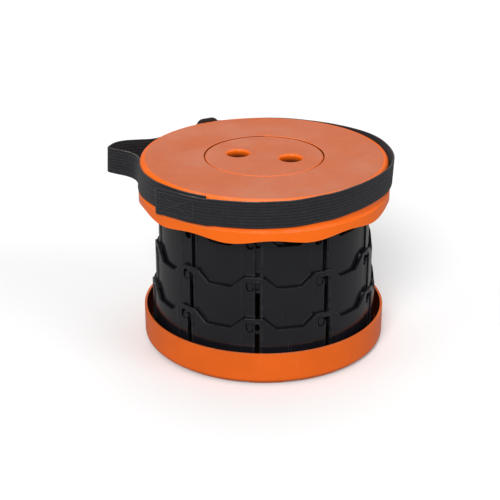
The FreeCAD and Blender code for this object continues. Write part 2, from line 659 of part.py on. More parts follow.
def strap_route():
    """Middle line of the webbing from above: round the rim, through the slider and out into the hand loop."""
    on = strap_middle_radius()
    half_window = (SLIDER_WIDTH - 2 * SLIDER_SIDE_BAR) / 2
    over_bar = slider_inner_radius() + SLIDER_THICKNESS + STRAP_CLEARANCE + STRAP_THICKNESS / 2
    low = half_window - 1.0
    high = SLIDER_MIDDLE_BAR / 2 + 1.3
    run_out = SLIDER_WIDTH / 2 + 2.5
    leave = math.degrees(math.asin(run_out / on))
    start = on_rim(LOOP_JOIN_ANGLE, on)
    end_angle = SLIDER_ANGLE + 360.0 - leave
    middle_angle = (LOOP_JOIN_ANGLE + end_angle) / 2
    end = on_rim(end_angle, on)
    rim = Part.Arc(V(*start, 0), V(*on_rim(middle_angle, on), 0), V(*end, 0)).toShape()
    a = math.radians(LOOP_JOIN_ANGLE)
    run_in = (start[0] - LOOP_RUN_IN * math.cos(a), start[1] - LOOP_RUN_IN * math.sin(a))
    points = [
        end,
        near_slider(-low, on),
        near_slider(-high, over_bar),
        near_slider(high, over_bar),
        near_slider(low, on),
        near_slider(run_out, on + 0.3),
        *[on_rim(angle, SEAT_RADIUS + out) for angle, out in LOOP_POINTS],
        run_in,
        start,
    ]
    radii = [0, 2.0, 2.0, 2.0, 2.0, 20.0, *LOOP_RADII, LOOP_RUN_IN_RADIUS, 0]
    loop = rounded_outline(points, radii, closed=False)
    return Part.Wire([rim] + loop.Edges)


def carry_strap():
    """Webbing standing on edge round the seat's rim, with its sewn double layer and the hand loop."""
    route = strap_route()
    outer = route.makeOffset2D(STRAP_THICKNESS / 2, join=0)
    inner = route.makeOffset2D(-STRAP_THICKNESS / 2, join=0)
    faces = sorted((Part.Face(outer), Part.Face(inner)), key=lambda face: face.Area)
    strip = faces[1].cut(faces[0]).extrude(V(0, 0, STRAP_WIDTH))
    strip.translate(V(0, 0, STRAP_BOTTOM))
    outside = strap_middle_radius() + STRAP_THICKNESS / 2
    layer = tube(outside + STRAP_THICKNESS, outside - STRAP_THICKNESS / 2, STRAP_BOTTOM, STRAP_TOP)
    sweep = OVERLAP_END - OVERLAP_START
    sector = Part.makeCylinder(2 * SEAT_RADIUS, STRAP_WIDTH, V(0, 0, STRAP_BOTTOM), UP, sweep)
    sector.rotate(ORIGIN, UP, OVERLAP_START - 90.0)
    return strip.fuse(layer.common(sector)).removeSplitter()


def strap_stitching():
    """Sewn box with a cross in it, standing out a little from the strap's outer layer."""
    face = strap_middle_radius() + 1.5 * STRAP_THICKNESS
    half_angle = (STITCH_END - STITCH_START) / 2
    half = face * math.sin(math.radians(half_angle))
    low, high = STRAP_BOTTOM + STITCH_INSET, STRAP_TOP - STITCH_INSET
    thread = STITCH_WIDTH / 2
    hem = box_outline(-half - thread, half + thread, low - thread, high + thread)
    window = box_outline(-half + thread, half - thread, low + thread, high - thread)
    near, far = face / 2, face + 1.0
    seams = [radial_prism(hem, near, far).cut(radial_prism(window, near, far))]
    for start, end in ((low, high), (high, low)):
        diagonal = rounded_outline(
            [(-half, start - thread), (half, end - thread), (half, end + thread), (-half, start + thread)],
            [0, 0, 0, 0],
        )
        seams.append(radial_prism(diagonal, near, far))
    thread_layer = tube(face + STITCH_RELIEF, face, STRAP_BOTTOM, STRAP_TOP)
    box = seams[0].fuse(seams[1:]).common(thread_layer)
    return turned(box.removeSplitter(), (STITCH_START + STITCH_END) / 2)


def strap_slider():
    """Three-bar slider: the webbing runs under its side bars and over its middle bar."""
    inner = slider_inner_radius()
    outer = inner + SLIDER_THICKNESS
    half = SLIDER_WIDTH / 2
    bottom, top = STRAP_BOTTOM - SLIDER_OVERHANG, STRAP_TOP + SLIDER_OVERHANG
    frame = radial_prism(box_outline(-half, half, bottom, top, SLIDER_CORNER), inner, outer)
    frame = frame.makeFillet(0.9, [
        edge for edge in frame.Edges
        if abs(edge.BoundBox.YLength) < 1e-6 and abs(edge.BoundBox.YMin + outer) < 1e-6
    ])
    slot_low, slot_high = STRAP_BOTTOM - SLIDER_SLOT_PLAY, STRAP_TOP + SLIDER_SLOT_PLAY
    slots = []
    for left, right in (
        (-half + SLIDER_SIDE_BAR, -SLIDER_MIDDLE_BAR / 2),
        (SLIDER_MIDDLE_BAR / 2, half - SLIDER_SIDE_BAR),
    ):
        slots.append(radial_prism(box_outline(left, right, slot_low, slot_high, 0.8), inner - 1, outer + 1))
    return turned(frame.cut(slots), SLIDER_ANGLE)


# ---------------------------------------------------------------- files
def write(name, shape):
    solids = shape.Solids
    assert solids and all(solid.isValid() and solid.Volume > 0 for solid in solids), name
    body = solids[0] if len(solids) == 1 else Part.makeCompound(solids)
    body.exportStep(os.path.join("parts", name + ".step"))
    box = body.BoundBox
    print(f"{name}: {len(solids)} solids, {body.Volume / 1000:.1f} cm3, z {box.ZMin:.2f} to {box.ZMax:.2f}")


def main():
    os.makedirs("parts", exist_ok=True)
    write("base_tray", base_tray())
    write("base_grip_pads", base_grip_pads())
    write("base_centre_pad", base_centre_pad())
    seat_of_base_screws = PAD_THICKNESS + SCREW_HEAD_HEIGHT
    base_screw_length = FLOOR_TOP - seat_of_base_screws + BASE_SCREW_BITE
    write("base_screws", screw_circle(foot_screw_radius(), seat_of_base_screws, base_screw_length))
    for tier in range(1, TIER_COUNT + 1):
        write(f"tier_ring_{tier:02d}", tier_ring(tier))
    write("seat_lid", seat_lid())
    write("centre_plate", centre_plate())
    flange_underside = LID_UNDERSIDE - TOP_BOSS_LENGTH - TOP_FLANGE_THICKNESS
    lid_screw_length = TOP_FLANGE_THICKNESS + LID_SCREW_BITE
    write("lid_screws", screw_circle(top_screw_radius(), flange_underside, lid_screw_length))
    write("carry_strap", carry_strap())
    write("strap_stitching", strap_stitching())
    write("strap_slider", strap_slider())


main()
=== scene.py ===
# %% [markdown]
# # A telescopic camp stool
# This lesson dresses a finished engineering model of a telescopic camp stool. The frame already holds
# every moulded part at its real place: the tray, ten tier rings, the seat lid, its middle plate, the
# slider and the screws. Blender adds what the frame can't hold: the woven carry strap with its sewn
# overlap, the stitches, and the look of every plastic. Everything is in metres, in the frame's own axes:
# +Z is up, -Y is the front, and the stool stands on the floor at height 0.

# %% Load the frame
import math

import bmesh
import bpy
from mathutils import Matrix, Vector


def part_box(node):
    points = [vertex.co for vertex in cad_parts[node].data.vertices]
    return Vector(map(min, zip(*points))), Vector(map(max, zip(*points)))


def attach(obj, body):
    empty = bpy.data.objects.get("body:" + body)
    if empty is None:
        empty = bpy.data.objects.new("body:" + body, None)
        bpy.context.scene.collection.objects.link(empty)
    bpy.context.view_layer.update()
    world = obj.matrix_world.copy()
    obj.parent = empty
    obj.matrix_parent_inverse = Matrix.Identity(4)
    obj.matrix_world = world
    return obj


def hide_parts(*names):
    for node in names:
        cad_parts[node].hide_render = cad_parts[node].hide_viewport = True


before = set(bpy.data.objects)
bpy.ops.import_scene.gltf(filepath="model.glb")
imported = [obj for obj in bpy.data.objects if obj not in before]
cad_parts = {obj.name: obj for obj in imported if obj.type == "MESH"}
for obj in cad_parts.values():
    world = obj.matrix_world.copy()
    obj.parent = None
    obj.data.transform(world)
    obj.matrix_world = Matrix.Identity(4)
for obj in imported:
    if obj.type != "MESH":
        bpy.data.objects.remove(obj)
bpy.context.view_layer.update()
print("pieces in the frame:", len(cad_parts))

# %% [markdown]
# ## Helpers for shader nodes
# A procedural material is a small tree of nodes. Two helpers keep the cells short. `put` adds one node,
# sets its options, and fills its inputs with either a constant or a link. `new_group` opens a node group
# with named sockets, so that one effect can be used by several materials with different values.


# %% Node helpers
def put(tree, kind, inputs=None, **options):
    """Adds a node; inputs maps a socket's name or number to a constant or to another socket."""
    node = tree.nodes.new(kind)
    for name, value in options.items():
        setattr(node, name, value)
    for socket, value in (inputs or {}).items():
        if isinstance(value, bpy.types.NodeSocket):
            tree.links.new(value, node.inputs[socket])
        else:
            node.inputs[socket].default_value = value
    return node


def math_node(tree, operation, *values):
    """One Math node; its result is the socket that the next node reads."""
    node = put(tree, "ShaderNodeMath", dict(enumerate(values)), operation=operation)
    return node.outputs[0]


def ramp(tree, value, low, high, to_low=0.0, to_high=1.0):
    """Maps a value smoothly from the range low..high to the range to_low..to_high."""
    node = put(
        tree,
        "ShaderNodeMapRange",
        {"Value": value, "From Min": low, "From Max": high, "To Min": to_low, "To Max": to_high},
        interpolation_type="SMOOTHSTEP",
    )
    return node.outputs["Result"]


def object_place(tree):
    """Position in the piece's own coordinates, which moves with the piece."""
    return put(tree, "ShaderNodeTexCoord").outputs["Object"]


def height_of(tree, vector):
    """The Z part of a position or a direction."""
    return put(tree, "ShaderNodeSeparateXYZ", {0: vector}).outputs["Z"]


def looking_up(tree):
    """1 where a face looks straight up, 0 where it's upright, -1 where it looks down."""
    return height_of(tree, put(tree, "ShaderNodeNewGeometry").outputs["Normal"])


def noise(tree, place, **inputs):
    values = {"Vector": place, **inputs}
    return put(tree, "ShaderNodeTexNoise", values).outputs["Fac"]


def product(tree, *factors):
    result = factors[0]
    for factor in factors[1:]:
        result = math_node(tree, "MULTIPLY", result, factor)
    return result


def mix_colours(tree, factor, first, second):
    node = put(tree, "ShaderNodeMix", {"Factor": factor}, data_type="RGBA")
    for socket, value in ((node.inputs[6], first), (node.inputs[7], second)):
        if isinstance(value, bpy.types.NodeSocket):
            tree.links.new(value, socket)
        else:
            socket.default_value = (*value, 1.0)
    return node.outputs[2]


def new_group(name, inputs, outputs):
    """Opens a node group; inputs maps a name to its default, outputs maps a name to its socket type."""
    tree = bpy.data.node_groups.new(name, "ShaderNodeTree")
    for title, default in inputs.items():
        is_colour = isinstance(default, tuple)
        kind = "NodeSocketColor" if is_colour else "NodeSocketFloat"
        socket = tree.interface.new_socket(name=title, in_out="INPUT", socket_type=kind)
        socket.default_value = (*default, 1.0) if is_colour else default
    for title, kind in outputs.items():
        tree.interface.new_socket(name=title, in_out="OUTPUT", socket_type=kind)
    entry = tree.nodes.new("NodeGroupInput")
    leave = tree.nodes.new("NodeGroupOutput")
    return tree, entry.outputs, leave.inputs


def use_group(tree, group, **values):
    """Places a group in a material; an underscore in a keyword stands for a space in the socket's name."""
    node = tree.nodes.new("ShaderNodeGroup")
    node.node_tree = group
    for title, value in values.items():
        socket = node.inputs[title.replace("_", " ")]
        if isinstance(value, bpy.types.NodeSocket):
            tree.links.new(value, socket)
        else:
            socket.default_value = (*value, 1.0) if isinstance(value, tuple) else value
    return node.outputs


# %% [markdown]
# ## Effect: flow marks
# Injection-moulded plastic is never one even colour. Melt that cools at different speeds leaves soft
# clouds, a few percent lighter or darker. An image could hold them, but a low-frequency noise in the
# piece's own coordinates has no seams and moves with the piece, so that is what this group does.

# %% Flow marks group
flow_marks, given, result = new_group(
    "flow_marks",
    {"Colour": (0.8, 0.2, 0.05), "Amount": 0.08, "Cloud Size": 0.03},
    {"Colour": "NodeSocketColor", "Clouds": "NodeSocketFloat"},
)
cloud_scale = math_node(flow_marks, "DIVIDE", 1.0, given["Cloud Size"])
clouds = noise(flow_marks, object_place(flow_marks), Scale=cloud_scale, Detail=4.0, Distortion=0.6)
swing = math_node(flow_marks, "MULTIPLY_ADD", clouds, 2.0, -1.0)
shade = math_node(flow_marks, "MULTIPLY_ADD", swing, given["Amount"], 1.0)
tinted = put(flow_marks, "ShaderNodeVectorMath", {0: given["Colour"]}, operation="SCALE")
flow_marks.links.new(shade, tinted.inputs["Scale"])
flow_marks.links.new(tinted.outputs[0], result["Colour"])
flow_marks.links.new(clouds, result["Clouds"])

# %% [markdown]
# ## Effect: spark texture
# The flat top of the seat has a fine pebbled skin, made by spark erosion of the mould, so that nobody
# slides off. Real pebbles are about half a millimetre wide: too many to model. Two octaves of Voronoi
# cells and a noise give the same uneven pits, as a height for a Bump node and as a mask for the colour.

# %% Spark texture group
spark_texture, given, result = new_group(
    "spark_texture",
    {"Pebble Size": 0.0008},
    {"Height": "NodeSocketFloat", "Pits": "NodeSocketFloat"},
)
place = object_place(spark_texture)
pebble_scale = math_node(spark_texture, "DIVIDE", 1.0, given["Pebble Size"])
pebbles = put(
    spark_texture, "ShaderNodeTexVoronoi", {"Vector": place, "Scale": pebble_scale, "Randomness": 1.0}
).outputs["Distance"]
small_pebbles = noise(spark_texture, place, Scale=product(spark_texture, pebble_scale, 0.7), Detail=3.0)
small_height = product(spark_texture, small_pebbles, 0.6)
height = math_node(spark_texture, "MULTIPLY_ADD", pebbles, 0.7, small_height)
spark_texture.links.new(height, result["Height"])
spark_texture.links.new(ramp(spark_texture, height, 0.35, 0.85), result["Pits"])

# %% [markdown]
# ## Effect: edge wear
# Corners of a used stool are rubbed a little lighter. The Bevel node averages the surface's direction
# within a small radius; where that differs from the true direction there is an edge nearby. Comparing
# the two gives a mask that works on any mesh, without painting.

# %% Edge wear group
edge_wear, given, result = new_group(
    "edge_wear", {"Reach": 0.0008, "Amount": 1.0}, {"Mask": "NodeSocketFloat"}
)
rounded = put(edge_wear, "ShaderNodeBevel", {"Radius": given["Reach"]}, samples=6).outputs["Normal"]
true_normal = put(edge_wear, "ShaderNodeNewGeometry").outputs["Normal"]
likeness = put(edge_wear, "ShaderNodeVectorMath", {0: rounded, 1: true_normal}, operation="DOT_PRODUCT")
edge = ramp(edge_wear, likeness.outputs["Value"], 0.995, 0.85)
patches = noise(edge_wear, object_place(edge_wear), Scale=180.0, Detail=3.0)
worn_patches = product(edge_wear, edge, ramp(edge_wear, patches, 0.3, 0.65), given["Amount"])
edge_wear.links.new(worn_patches, result["Mask"])

# %% [markdown]
# ## Effect: scuffs
# Sliding the tiers and setting the stool down leaves thin, short scratches. Noise that is stretched a
# lot in one direction looks like a bundle of scratches; a narrow ramp keeps only its crests, and a
# second noise breaks them up into patches.

# %% Scuffs group
scuffs, given, result = new_group(
    "scuffs", {"Amount": 1.0, "Stretch": 14.0, "Scale": 420.0}, {"Mask": "NodeSocketFloat"}
)
place = object_place(scuffs)
turned = put(scuffs, "ShaderNodeMapping", {"Vector": place, "Rotation": (0.5, 0.3, 0.8)})
stretched = math_node(scuffs, "DIVIDE", 1.0, given["Stretch"])
squeeze = put(scuffs, "ShaderNodeCombineXYZ", {"X": 1.0, "Y": 1.0, "Z": stretched})
scuffs.links.new(squeeze.outputs[0], turned.inputs["Scale"])
lines = noise(scuffs, turned.outputs[0], Scale=given["Scale"], Detail=2.0)
where = noise(scuffs, place, Scale=26.0, Detail=2.0)
crests = ramp(scuffs, lines, 0.62, 0.72)
kept = product(scuffs, crests, ramp(scuffs, where, 0.5, 0.68), given["Amount"])
scuffs.links.new(kept, result["Mask"])

# %% [markdown]
# ## Effect: dust
# Dust settles on what faces up and gathers in patches. The group multiplies how far a face looks up by
# a fine and a coarse noise.

# %% Dust group
dust, given, result = new_group("dust", {"Amount": 0.3}, {"Mask": "NodeSocketFloat"})
place = object_place(dust)
coarse = noise(dust, place, Scale=22.0, Detail=5.0)
fine = noise(dust, place, Scale=900.0, Detail=2.0)
layer = product(dust, ramp(dust, looking_up(dust), 0.2, 0.9), ramp(dust, coarse, 0.35, 0.75))
speckled = product(dust, layer, ramp(dust, fine, 0.35, 0.7), given["Amount"])
dust.links.new(speckled, result["Mask"])

# %% [markdown]
# ## Effect: distance from the stool's axis
# Several finishes change at a circle: the pebbled seat ends at a smooth rim, for one. The group
# measures the distance from the Z axis and turns it into a mask with a soft border.

# %% Radial zone group
radial_zone, given, result = new_group(
    "radial_zone", {"Radius": 0.1, "Border": 0.001}, {"Inside": "NodeSocketFloat"}
)
flat = put(
    radial_zone, "ShaderNodeVectorMath",
    {0: object_place(radial_zone), 1: (1.0, 1.0, 0.0)}, operation="MULTIPLY",
)
distance = put(radial_zone, "ShaderNodeVectorMath", {0: flat.outputs[0]}, operation="LENGTH").outputs["Value"]
edge_end = math_node(radial_zone, "ADD", given["Radius"], given["Border"])
radial_zone.links.new(ramp(radial_zone, distance, edge_end, given["Radius"]), result["Inside"])

# %% [markdown]
# ## Effect: webbing weave
# The strap is woven in lengthwise rows. In each row the yarns lean one way, and in the next row the
# other way, like a row of chevrons. The strap's mesh carries a map of its length and height in metres,
# so the group can count rows across and yarns along. It puts out a height and a yarn mask.

# %% Webbing weave group
ROW_PITCH = 0.0031
YARN_PITCH = 0.0021
STRAP_MAP = "strap_map"

webbing_weave, given, result = new_group(
    "webbing_weave",
    {"Row Pitch": ROW_PITCH, "Yarn Pitch": YARN_PITCH, "Lean": 0.9},
    {"Height": "NodeSocketFloat", "Yarn": "NodeSocketFloat"},
)
along_and_up = put(webbing_weave, "ShaderNodeUVMap", uv_map=STRAP_MAP).outputs["UV"]
strap_place = put(webbing_weave, "ShaderNodeSeparateXYZ", {0: along_and_up}).outputs
row = math_node(webbing_weave, "DIVIDE", strap_place["Y"], given["Row Pitch"])
across_row = math_node(webbing_weave, "FRACT", row)
row_profile = math_node(webbing_weave, "SINE", product(webbing_weave, across_row, math.pi))
odd_row = math_node(webbing_weave, "MODULO", math_node(webbing_weave, "FLOOR", row), 2.0)
side = math_node(webbing_weave, "MULTIPLY_ADD", odd_row, 2.0, -1.0)
slant = product(webbing_weave, across_row, side, given["Lean"])
yarn_phase = math_node(
    webbing_weave, "ADD", math_node(webbing_weave, "DIVIDE", strap_place["X"], given["Yarn Pitch"]), slant
)
yarn_wave = math_node(webbing_weave, "SINE", product(webbing_weave, yarn_phase, 2 * math.pi))
yarn = math_node(webbing_weave, "MULTIPLY_ADD", yarn_wave, 0.5, 0.5)
bulge = math_node(webbing_weave, "POWER", row_profile, 0.6)
yarn_height = math_node(webbing_weave, "MULTIPLY_ADD", yarn, 0.55, 0.45)
weave_height = product(webbing_weave, bulge, yarn_height)
webbing_weave.links.new(weave_height, result["Height"])
webbing_weave.links.new(product(webbing_weave, yarn, bulge), result["Yarn"])


# %% [markdown]
# ## Materials
# A material is one Principled shader, fed by the groups. `start_material` makes the shader with its
# constants on its own sockets, and each finish then links what changes over the surface.


# %% Material helpers
def start_material(name, **constants):
    """New material with a Principled shader; returns the material, its tree and the shader's inputs."""
    material = bpy.data.materials.new(name)
    material.use_nodes = True
    tree = material.node_tree
    shader = tree.nodes["Principled BSDF"]
    for title, value in constants.items():
        socket = shader.inputs[title.replace("_", " ")]
        socket.default_value = (*value, 1.0) if isinstance(value, tuple) else value
    return material, tree, shader.inputs


def bump(tree, shader_inputs, height, depth, strength=1.0):
    node = put(tree, "ShaderNodeBump", {"Height": height, "Distance": depth, "Strength": strength})
    tree.links.new(node.outputs["Normal"], shader_inputs["Normal"])


# %% [markdown]
# ### Orange plastic of the tray
# The tray is a glossy moulding. Clouds from `flow_marks` vary its colour, worn edges turn paler, and
# scuffs make it rougher in patches, which shows only where light grazes it. Its inner wall gets a
# painted shade, and its floor under the tiers a darker painted shade: deep shade painted into the
# colour, so they stay dark when the stool is opened.

# %% Tray plastic
TRAY_ORANGE = (0.76, 0.122, 0.008)
WORN_ORANGE = (0.90, 0.32, 0.10)
DUST_COLOUR = (0.62, 0.57, 0.50)
SHARP_BORDER = 0.0002
SOFT_BORDER = 0.0040
# painted shade: the tray's inner wall and its floor under the tiers are darkened in the colour
TRAY_PAINTED_SHADE = [
    (0.1226, SHARP_BORDER, (0.17, 0.026, 0.004)),
    (0.1110, SOFT_BORDER, (0.030, 0.010, 0.004)),
]

tray_plastic, tree, shader = start_material("tray_plastic", Specular_IOR_Level=0.3)
base = use_group(tree, flow_marks, Colour=TRAY_ORANGE, Amount=0.10, Cloud_Size=0.035)
wear = use_group(tree, edge_wear, Reach=0.0009, Amount=0.55)["Mask"]
marks = use_group(tree, scuffs, Amount=0.5, Stretch=16.0, Scale=380.0)["Mask"]
powder = use_group(tree, dust, Amount=0.25)["Mask"]
colour = mix_colours(tree, wear, base["Colour"], WORN_ORANGE)
colour = mix_colours(tree, product(tree, marks, 0.45), colour, WORN_ORANGE)
colour = mix_colours(tree, powder, colour, DUST_COLOUR)
not_below = ramp(tree, looking_up(tree), -0.6, -0.3)
# each zone darkens the colour with painted shade, except on faces that look down
for radius, border, shade_colour in TRAY_PAINTED_SHADE:
    zone = use_group(tree, radial_zone, Radius=radius, Border=border)["Inside"]
    colour = mix_colours(tree, product(tree, zone, not_below), colour, shade_colour)
tree.links.new(colour, shader["Base Color"])
rough = math_node(tree, "MULTIPLY_ADD", base["Clouds"], 0.10, 0.27)
rough = math_node(tree, "MULTIPLY_ADD", marks, 0.25, rough)
tree.links.new(math_node(tree, "MULTIPLY_ADD", powder, 0.4, rough), shader["Roughness"])
bump(tree, shader, math_node(tree, "SUBTRACT", base["Clouds"], marks), 0.00006)

# %% [markdown]
# ### Orange plastic of the seat
# One moulding has two skins: a pebbled, matt top and a smooth, glossy rim. The radial mask chooses
# between them. The pits of the pebbles hold a little less light, and the pebbles' tips are rubbed pale,
# which is why the top looks greyer than the rim. A painted shade darkens the gap round the middle plate
# and the lower part of the finger holes; like the tray's, it is deep shade painted into the colour.

# %% Seat plastic
RIM_ORANGE = (0.93, 0.150, 0.005)
TOP_ORANGE = (0.56, 0.125, 0.040)
TOP_RUBBED = (0.66, 0.22, 0.12)
PEBBLED_RADIUS = 0.1195
# painted shade for the gap round the middle plate and for the lower part of the finger holes
PAINTED_SHADE = (0.10, 0.016, 0.004)
SHADE_REACH = 0.0022
HOLE_UNSHADED_ABOVE = 0.1935
HOLE_DARK_BELOW = 0.1862
plate_low, plate_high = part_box("centre_plate")
PLATE_RADIUS = (plate_high.x - plate_low.x) / 2
print("plate radius:", round(PLATE_RADIUS, 4))


def seat_skin(name, pebbled_radius):
    """Seat plastic that is pebbled on its flat top inside a radius and smooth on edges and walls."""
    material, tree, shader = start_material(name, Specular_IOR_Level=0.3)
    looks_up = looking_up(tree)
    on_top = ramp(tree, looks_up, 0.93, 0.985)
    inside = use_group(tree, radial_zone, Radius=pebbled_radius, Border=0.0008)["Inside"]
    pebbled = product(tree, on_top, inside)
    grain = use_group(tree, spark_texture, Pebble_Size=0.0010)
    fine_grain = use_group(tree, spark_texture, Pebble_Size=0.0004)
    smooth = use_group(tree, flow_marks, Colour=RIM_ORANGE, Amount=0.06, Cloud_Size=0.04)
    matt = use_group(tree, flow_marks, Colour=TOP_ORANGE, Amount=0.10, Cloud_Size=0.02)
    rubbed = product(tree, grain["Pits"], 0.42)
    top_colour = mix_colours(tree, rubbed, matt["Colour"], TOP_RUBBED)
    colour = mix_colours(tree, pebbled, smooth["Colour"], top_colour)
    wear = use_group(tree, edge_wear, Reach=0.0010, Amount=0.5)["Mask"]
    powder = use_group(tree, dust, Amount=0.22)["Mask"]
    colour = mix_colours(tree, wear, colour, WORN_ORANGE)
    zones = [
        use_group(tree, radial_zone, Radius=radius, Border=SHARP_BORDER)["Inside"]
        for radius in (PLATE_RADIUS + SHADE_REACH, PLATE_RADIUS - SHADE_REACH)
    ]
    near_gap = math_node(tree, "SUBTRACT", *zones)
    deep = ramp(tree, height_of(tree, object_place(tree)), HOLE_UNSHADED_ABOVE, HOLE_DARK_BELOW)
    low_in_hole = product(tree, deep, zones[1])
    steep = ramp(tree, looks_up, 0.80, 0.30)
    # painted shade: steep faces near the plate's gap and low in the finger holes are darkened in the colour
    painted_shade = product(tree, math_node(tree, "MAXIMUM", near_gap, low_in_hole), steep)
    colour = mix_colours(tree, powder, colour, DUST_COLOUR)
    tree.links.new(mix_colours(tree, painted_shade, colour, PAINTED_SHADE), shader["Base Color"])
    tree.links.new(ramp(tree, pebbled, 0.0, 1.0, 0.30, 0.62), shader["Roughness"])
    relief = math_node(tree, "MULTIPLY_ADD", fine_grain["Height"], 0.5, grain["Height"])
    bump(tree, shader, product(tree, relief, pebbled), 0.00022)
    return material


lid_plastic = seat_skin("lid_plastic", PEBBLED_RADIUS)

# %% [markdown]
# ### Black plastic of the tiers
# The rings are near-black, with a soft gloss that mirrors the pale room as broad bands. They slide in
# each other, so they get more scuffs than the rest, and the crests of their wavy edges are burnished.

# %% Ring plastic
RING_BLACK = (0.0068, 0.0072, 0.0098)
BURNISHED = (0.060, 0.061, 0.068)

ring_plastic, tree, shader = start_material("ring_plastic", Specular_IOR_Level=0.45)
base = use_group(tree, flow_marks, Colour=RING_BLACK, Amount=0.30, Cloud_Size=0.03)
wear = use_group(tree, edge_wear, Reach=0.0006, Amount=0.8)["Mask"]
marks = use_group(tree, scuffs, Amount=0.7, Stretch=22.0, Scale=420.0)["Mask"]
powder = use_group(tree, dust, Amount=0.12)["Mask"]
colour = mix_colours(tree, wear, base["Colour"], BURNISHED)
colour = mix_colours(tree, product(tree, marks, 0.35), colour, BURNISHED)
tree.links.new(mix_colours(tree, powder, colour, DUST_COLOUR), shader["Base Color"])
rough = math_node(tree, "MULTIPLY_ADD", base["Clouds"], 0.10, 0.15)
tree.links.new(math_node(tree, "MULTIPLY_ADD", marks, 0.25, rough), shader["Roughness"])
bump(tree, shader, math_node(tree, "SUBTRACT", base["Clouds"], marks), 0.00005)

# %% [markdown]
# ### Rubber, slider plastic and screws
# The pads are matt rubber with a fine grain. The slider is a satin moulding. The screws are zinc
# plated, so they are metallic with a brushed, uneven roughness.


# %% Small materials
def pebbled_material(name, colour, roughness, pebble, depth, metallic=0.0):
    """Simple finish for a small piece: cloudy colour, worn edges and a fine relief."""
    material, tree, shader = start_material(name, Metallic=metallic)
    base = use_group(tree, flow_marks, Colour=colour, Amount=0.25, Cloud_Size=0.006)
    grain = use_group(tree, spark_texture, Pebble_Size=pebble)
    wear = use_group(tree, edge_wear, Reach=0.0005, Amount=0.5)["Mask"]
    worn = tuple(min(1.0, c * 1.8 + 0.03) for c in colour)
    tree.links.new(mix_colours(tree, wear, base["Colour"], worn), shader["Base Color"])
    tree.links.new(math_node(tree, "MULTIPLY_ADD", grain["Pits"], 0.12, roughness), shader["Roughness"])
    bump(tree, shader, grain["Height"], depth)
    return material


pad_rubber = pebbled_material("pad_rubber", (0.52, 0.095, 0.012), 0.7, 0.0007, 0.0001)
slider_plastic = pebbled_material("slider_plastic", (0.016, 0.016, 0.018), 0.36, 0.0005, 0.00003)
screw_steel = pebbled_material("screw_steel", (0.52, 0.52, 0.53), 0.28, 0.0004, 0.00002, metallic=1.0)

# %% [markdown]
# ### Webbing and thread
# Webbing is a soft polyester: dark charcoal, with a faint sheen where the yarns' tips catch light. That
# sheen is painted into the colour as a paler tone on the raised yarns. The weave group drives both the
# relief and the colour. The sewing thread is bonded nylon, a bit glossier.

# %% Webbing and thread materials
YARN_DARK = (0.0055, 0.0055, 0.0068)
YARN_PAINTED_SHEEN = (0.037, 0.037, 0.043)

webbing, tree, shader = start_material(
    "webbing", Specular_IOR_Level=0.25, Sheen_Weight=0.08, Sheen_Roughness=0.45
)
weave = use_group(tree, webbing_weave, Row_Pitch=ROW_PITCH, Yarn_Pitch=YARN_PITCH, Lean=0.9)
painted_sheen = use_group(tree, flow_marks, Colour=YARN_PAINTED_SHEEN, Amount=0.7, Cloud_Size=0.004)
lint = use_group(tree, dust, Amount=0.5)["Mask"]
# painted sheen: the raised yarns get a paler colour, with cloudy variation
colour = mix_colours(tree, weave["Yarn"], YARN_DARK, painted_sheen["Colour"])
tree.links.new(mix_colours(tree, lint, colour, DUST_COLOUR), shader["Base Color"])
tree.links.new(ramp(tree, weave["Yarn"], 0.0, 1.0, 0.92, 0.62), shader["Roughness"])
bump(tree, shader, weave["Height"], 0.0005)

thread, tree, shader = start_material("thread", Specular_IOR_Level=0.5, Sheen_Weight=0.2)
twist = put(
    tree, "ShaderNodeTexWave",
    {"Vector": put(tree, "ShaderNodeTexCoord").outputs["Object"], "Scale": 900.0, "Distortion": 1.5},
).outputs["Fac"]
tree.links.new(mix_colours(tree, twist, (0.003, 0.006, 0.010), (0.010, 0.024, 0.030)), shader["Base Color"])
tree.links.new(ramp(tree, twist, 0.0, 1.0, 0.55, 0.4), shader["Roughness"])
bump(tree, shader, twist, 0.0001)

# %% [markdown]
# ## Dress the frame's own parts
# The moulded parts already have their true shape, so they only get a finish. A list names the parts
# that aren't black ring plastic, and every other part is a ring.

# %% Dress the frame
FINISHES = {
    "base_tray": tray_plastic,
    "base_grip_pads": pad_rubber,
    "base_centre_pad": pad_rubber,
    "base_screws": screw_steel,
    "lid_screws": screw_steel,
    "seat_lid": lid_plastic,
    "centre_plate": lid_plastic,
    "strap_slider": slider_plastic,
}
for name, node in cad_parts.items():
    finish = FINISHES.get(name, ring_plastic)
    node.data.materials.clear()
    node.data.materials.append(finish)
print("dressed", len(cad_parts), "nodes")

# %% [markdown]
# ## The carry strap's route
# The strap is one length of webbing on edge. Its outer end is sewn down at the front left. From there
# it runs round the rim, over the slider's middle bar at the back, out into the hand loop, back to the
# rim at the left, and under its own outer end, where a boxed cross of stitches joins the two layers.
# The route is drawn from above, as angles round the rim and then as points, and smoothed into a curve.

# %% Strap sizes
STRAP_WIDTH = 0.0270
STRAP_THICKNESS = 0.0016
RIM_RADIUS = 0.1250
LAY_GAP = 0.0003
ON_RIM = RIM_RADIUS + LAY_GAP + STRAP_THICKNESS / 2
OUTER_END = -54.0
LAYERS_MEET = -26.0
LOOP_REJOINS = -90.0
SLIDER_AT = -152.0
SLIDER_WIDTH = 0.026
SLIDER_SIDE_BAR = 0.0035
SLIDER_MIDDLE_BAR = 0.005
SLIDER_INNER = 0.1276
SLIDER_THICKNESS = 0.003
STRAP_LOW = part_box("carry_strap")[0].z


def rim_point(angle, radius):
    a = math.radians(angle)
    return Vector((radius * math.sin(a), -radius * math.cos(a)))


def slider_point(sideways, out):
    """A point given in the slider's own directions: along the strap, and out from the stool's axis."""
    a = math.radians(SLIDER_AT)
    outward = Vector((math.sin(a), -math.cos(a)))
    onward = Vector((math.cos(a), math.sin(a)))
    return outward * out + onward * sideways


